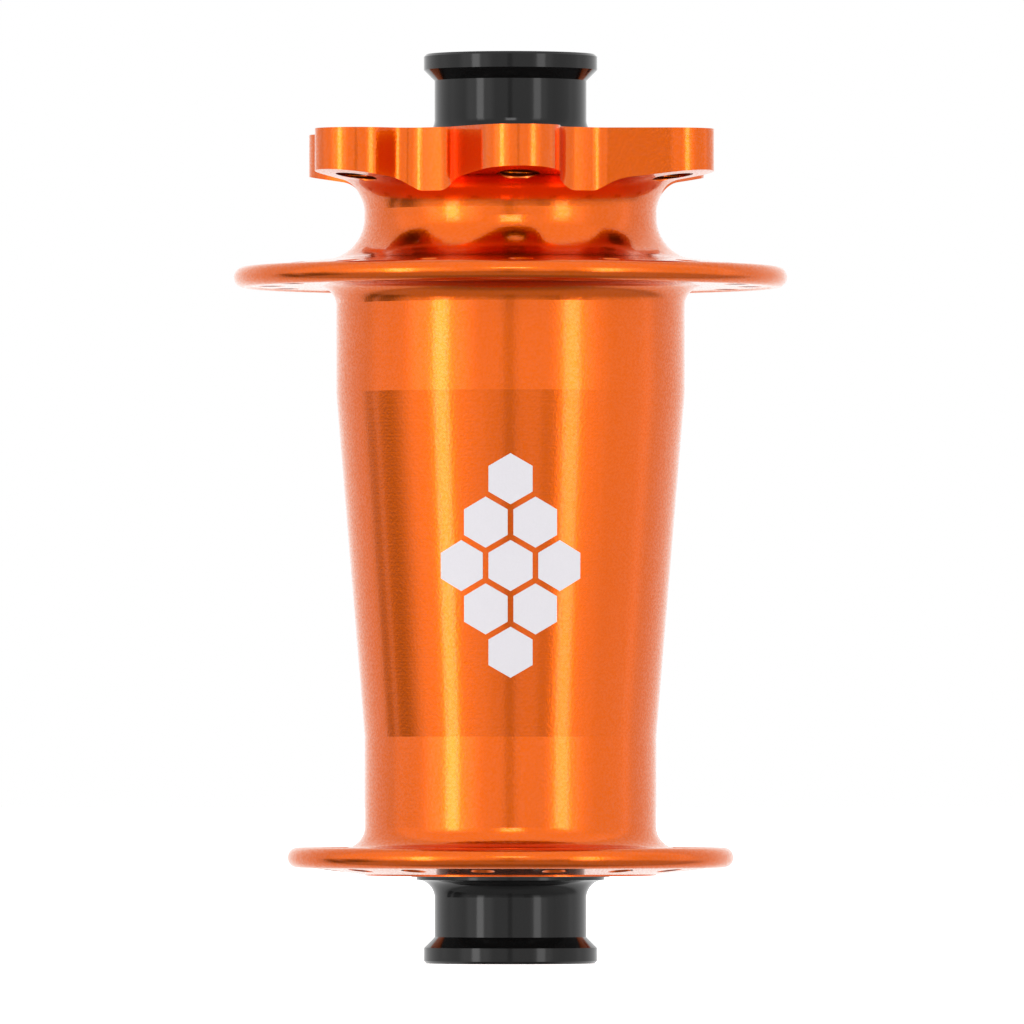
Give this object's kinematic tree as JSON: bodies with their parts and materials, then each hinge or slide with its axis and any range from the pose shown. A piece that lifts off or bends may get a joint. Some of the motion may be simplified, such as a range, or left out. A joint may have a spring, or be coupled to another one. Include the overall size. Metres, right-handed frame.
{
  "type": "front bicycle hub",
  "caption": "Flanged bicycle front hub for a thru-axle, with a lobed disc rotor mount and pull-off end caps; the shell spins on cartridge bearings.",
  "frame": {"origin": "on the axle axis, halfway between the outer faces of the two end caps", "axes": "+Z along the axle towards the disc side; a rotor bolt and a disc-side spoke hole lie towards -Y"},
  "size_m": [0.067, 0.067, 0.11],
  "materials": {
    "orange_anodised": "glossy clear orange anodising over fine turning lines",
    "black_anodised": "satin black anodising",
    "plain_aluminium": "turned, bare",
    "bearing_steel": "ground and polished",
    "ball_steel": "mirror polished",
    "shield_steel": "pressed sheet",
    "cage_nylon": "moulded",
    "seal_rubber": "matte moulded",
    "pale_print": "thin satin screen print"
  },
  "bodies": {
    "axle": {"axle": "plain_aluminium", "disc_inner_race": "bearing_steel", "plain_inner_race": "bearing_steel"},
    "shell": {"hub_shell": "orange_anodised", "disc_outer_race": "bearing_steel", "plain_outer_race": "bearing_steel", "disc_outboard_shield": "shield_steel", "disc_inboard_shield": "shield_steel", "plain_outboard_shield": "shield_steel", "plain_inboard_shield": "shield_steel", "disc_dust_seal": "seal_rubber", "plain_dust_seal": "seal_rubber"},
    "disc_ball_set": {"disc_balls": "ball_steel", "disc_cage": "cage_nylon"},
    "plain_ball_set": {"plain_balls": "ball_steel", "plain_cage": "cage_nylon"},
    "disc_cap": {"disc_end_cap": "black_anodised", "disc_cap_oring": "seal_rubber"},
    "plain_cap": {"plain_end_cap": "black_anodised", "plain_cap_oring": "seal_rubber"}
  },
  "joints": [
    {"name": "hub_spin", "type": "hinge", "parent": "axle", "child": "shell", "pos_m": [0, 0, 0], "axis": [0, 0, 1], "continuous": true},
    {"name": "disc_cage_spin", "type": "hinge", "parent": "axle", "child": "disc_ball_set", "pos_m": [0, 0, 0], "axis": [0, 0, 1], "continuous": true},
    {"name": "plain_cage_spin", "type": "hinge", "parent": "axle", "child": "plain_ball_set", "pos_m": [0, 0, 0], "axis": [0, 0, 1], "continuous": true},
    {"name": "disc_cap_pull", "type": "slide", "parent": "axle", "child": "disc_cap", "axis": [0, 0, 1], "range_m": [0, 0.01]},
    {"name": "plain_cap_pull", "type": "slide", "parent": "axle", "child": "plain_cap", "axis": [0, 0, -1], "range_m": [0, 0.01]}
  ],
  "couplings": [
    {"joint": "disc_cage_spin", "follows": "hub_spin", "ratio": 0.5673},
    {"joint": "plain_cage_spin", "follows": "hub_spin", "ratio": 0.5673}
  ]
}
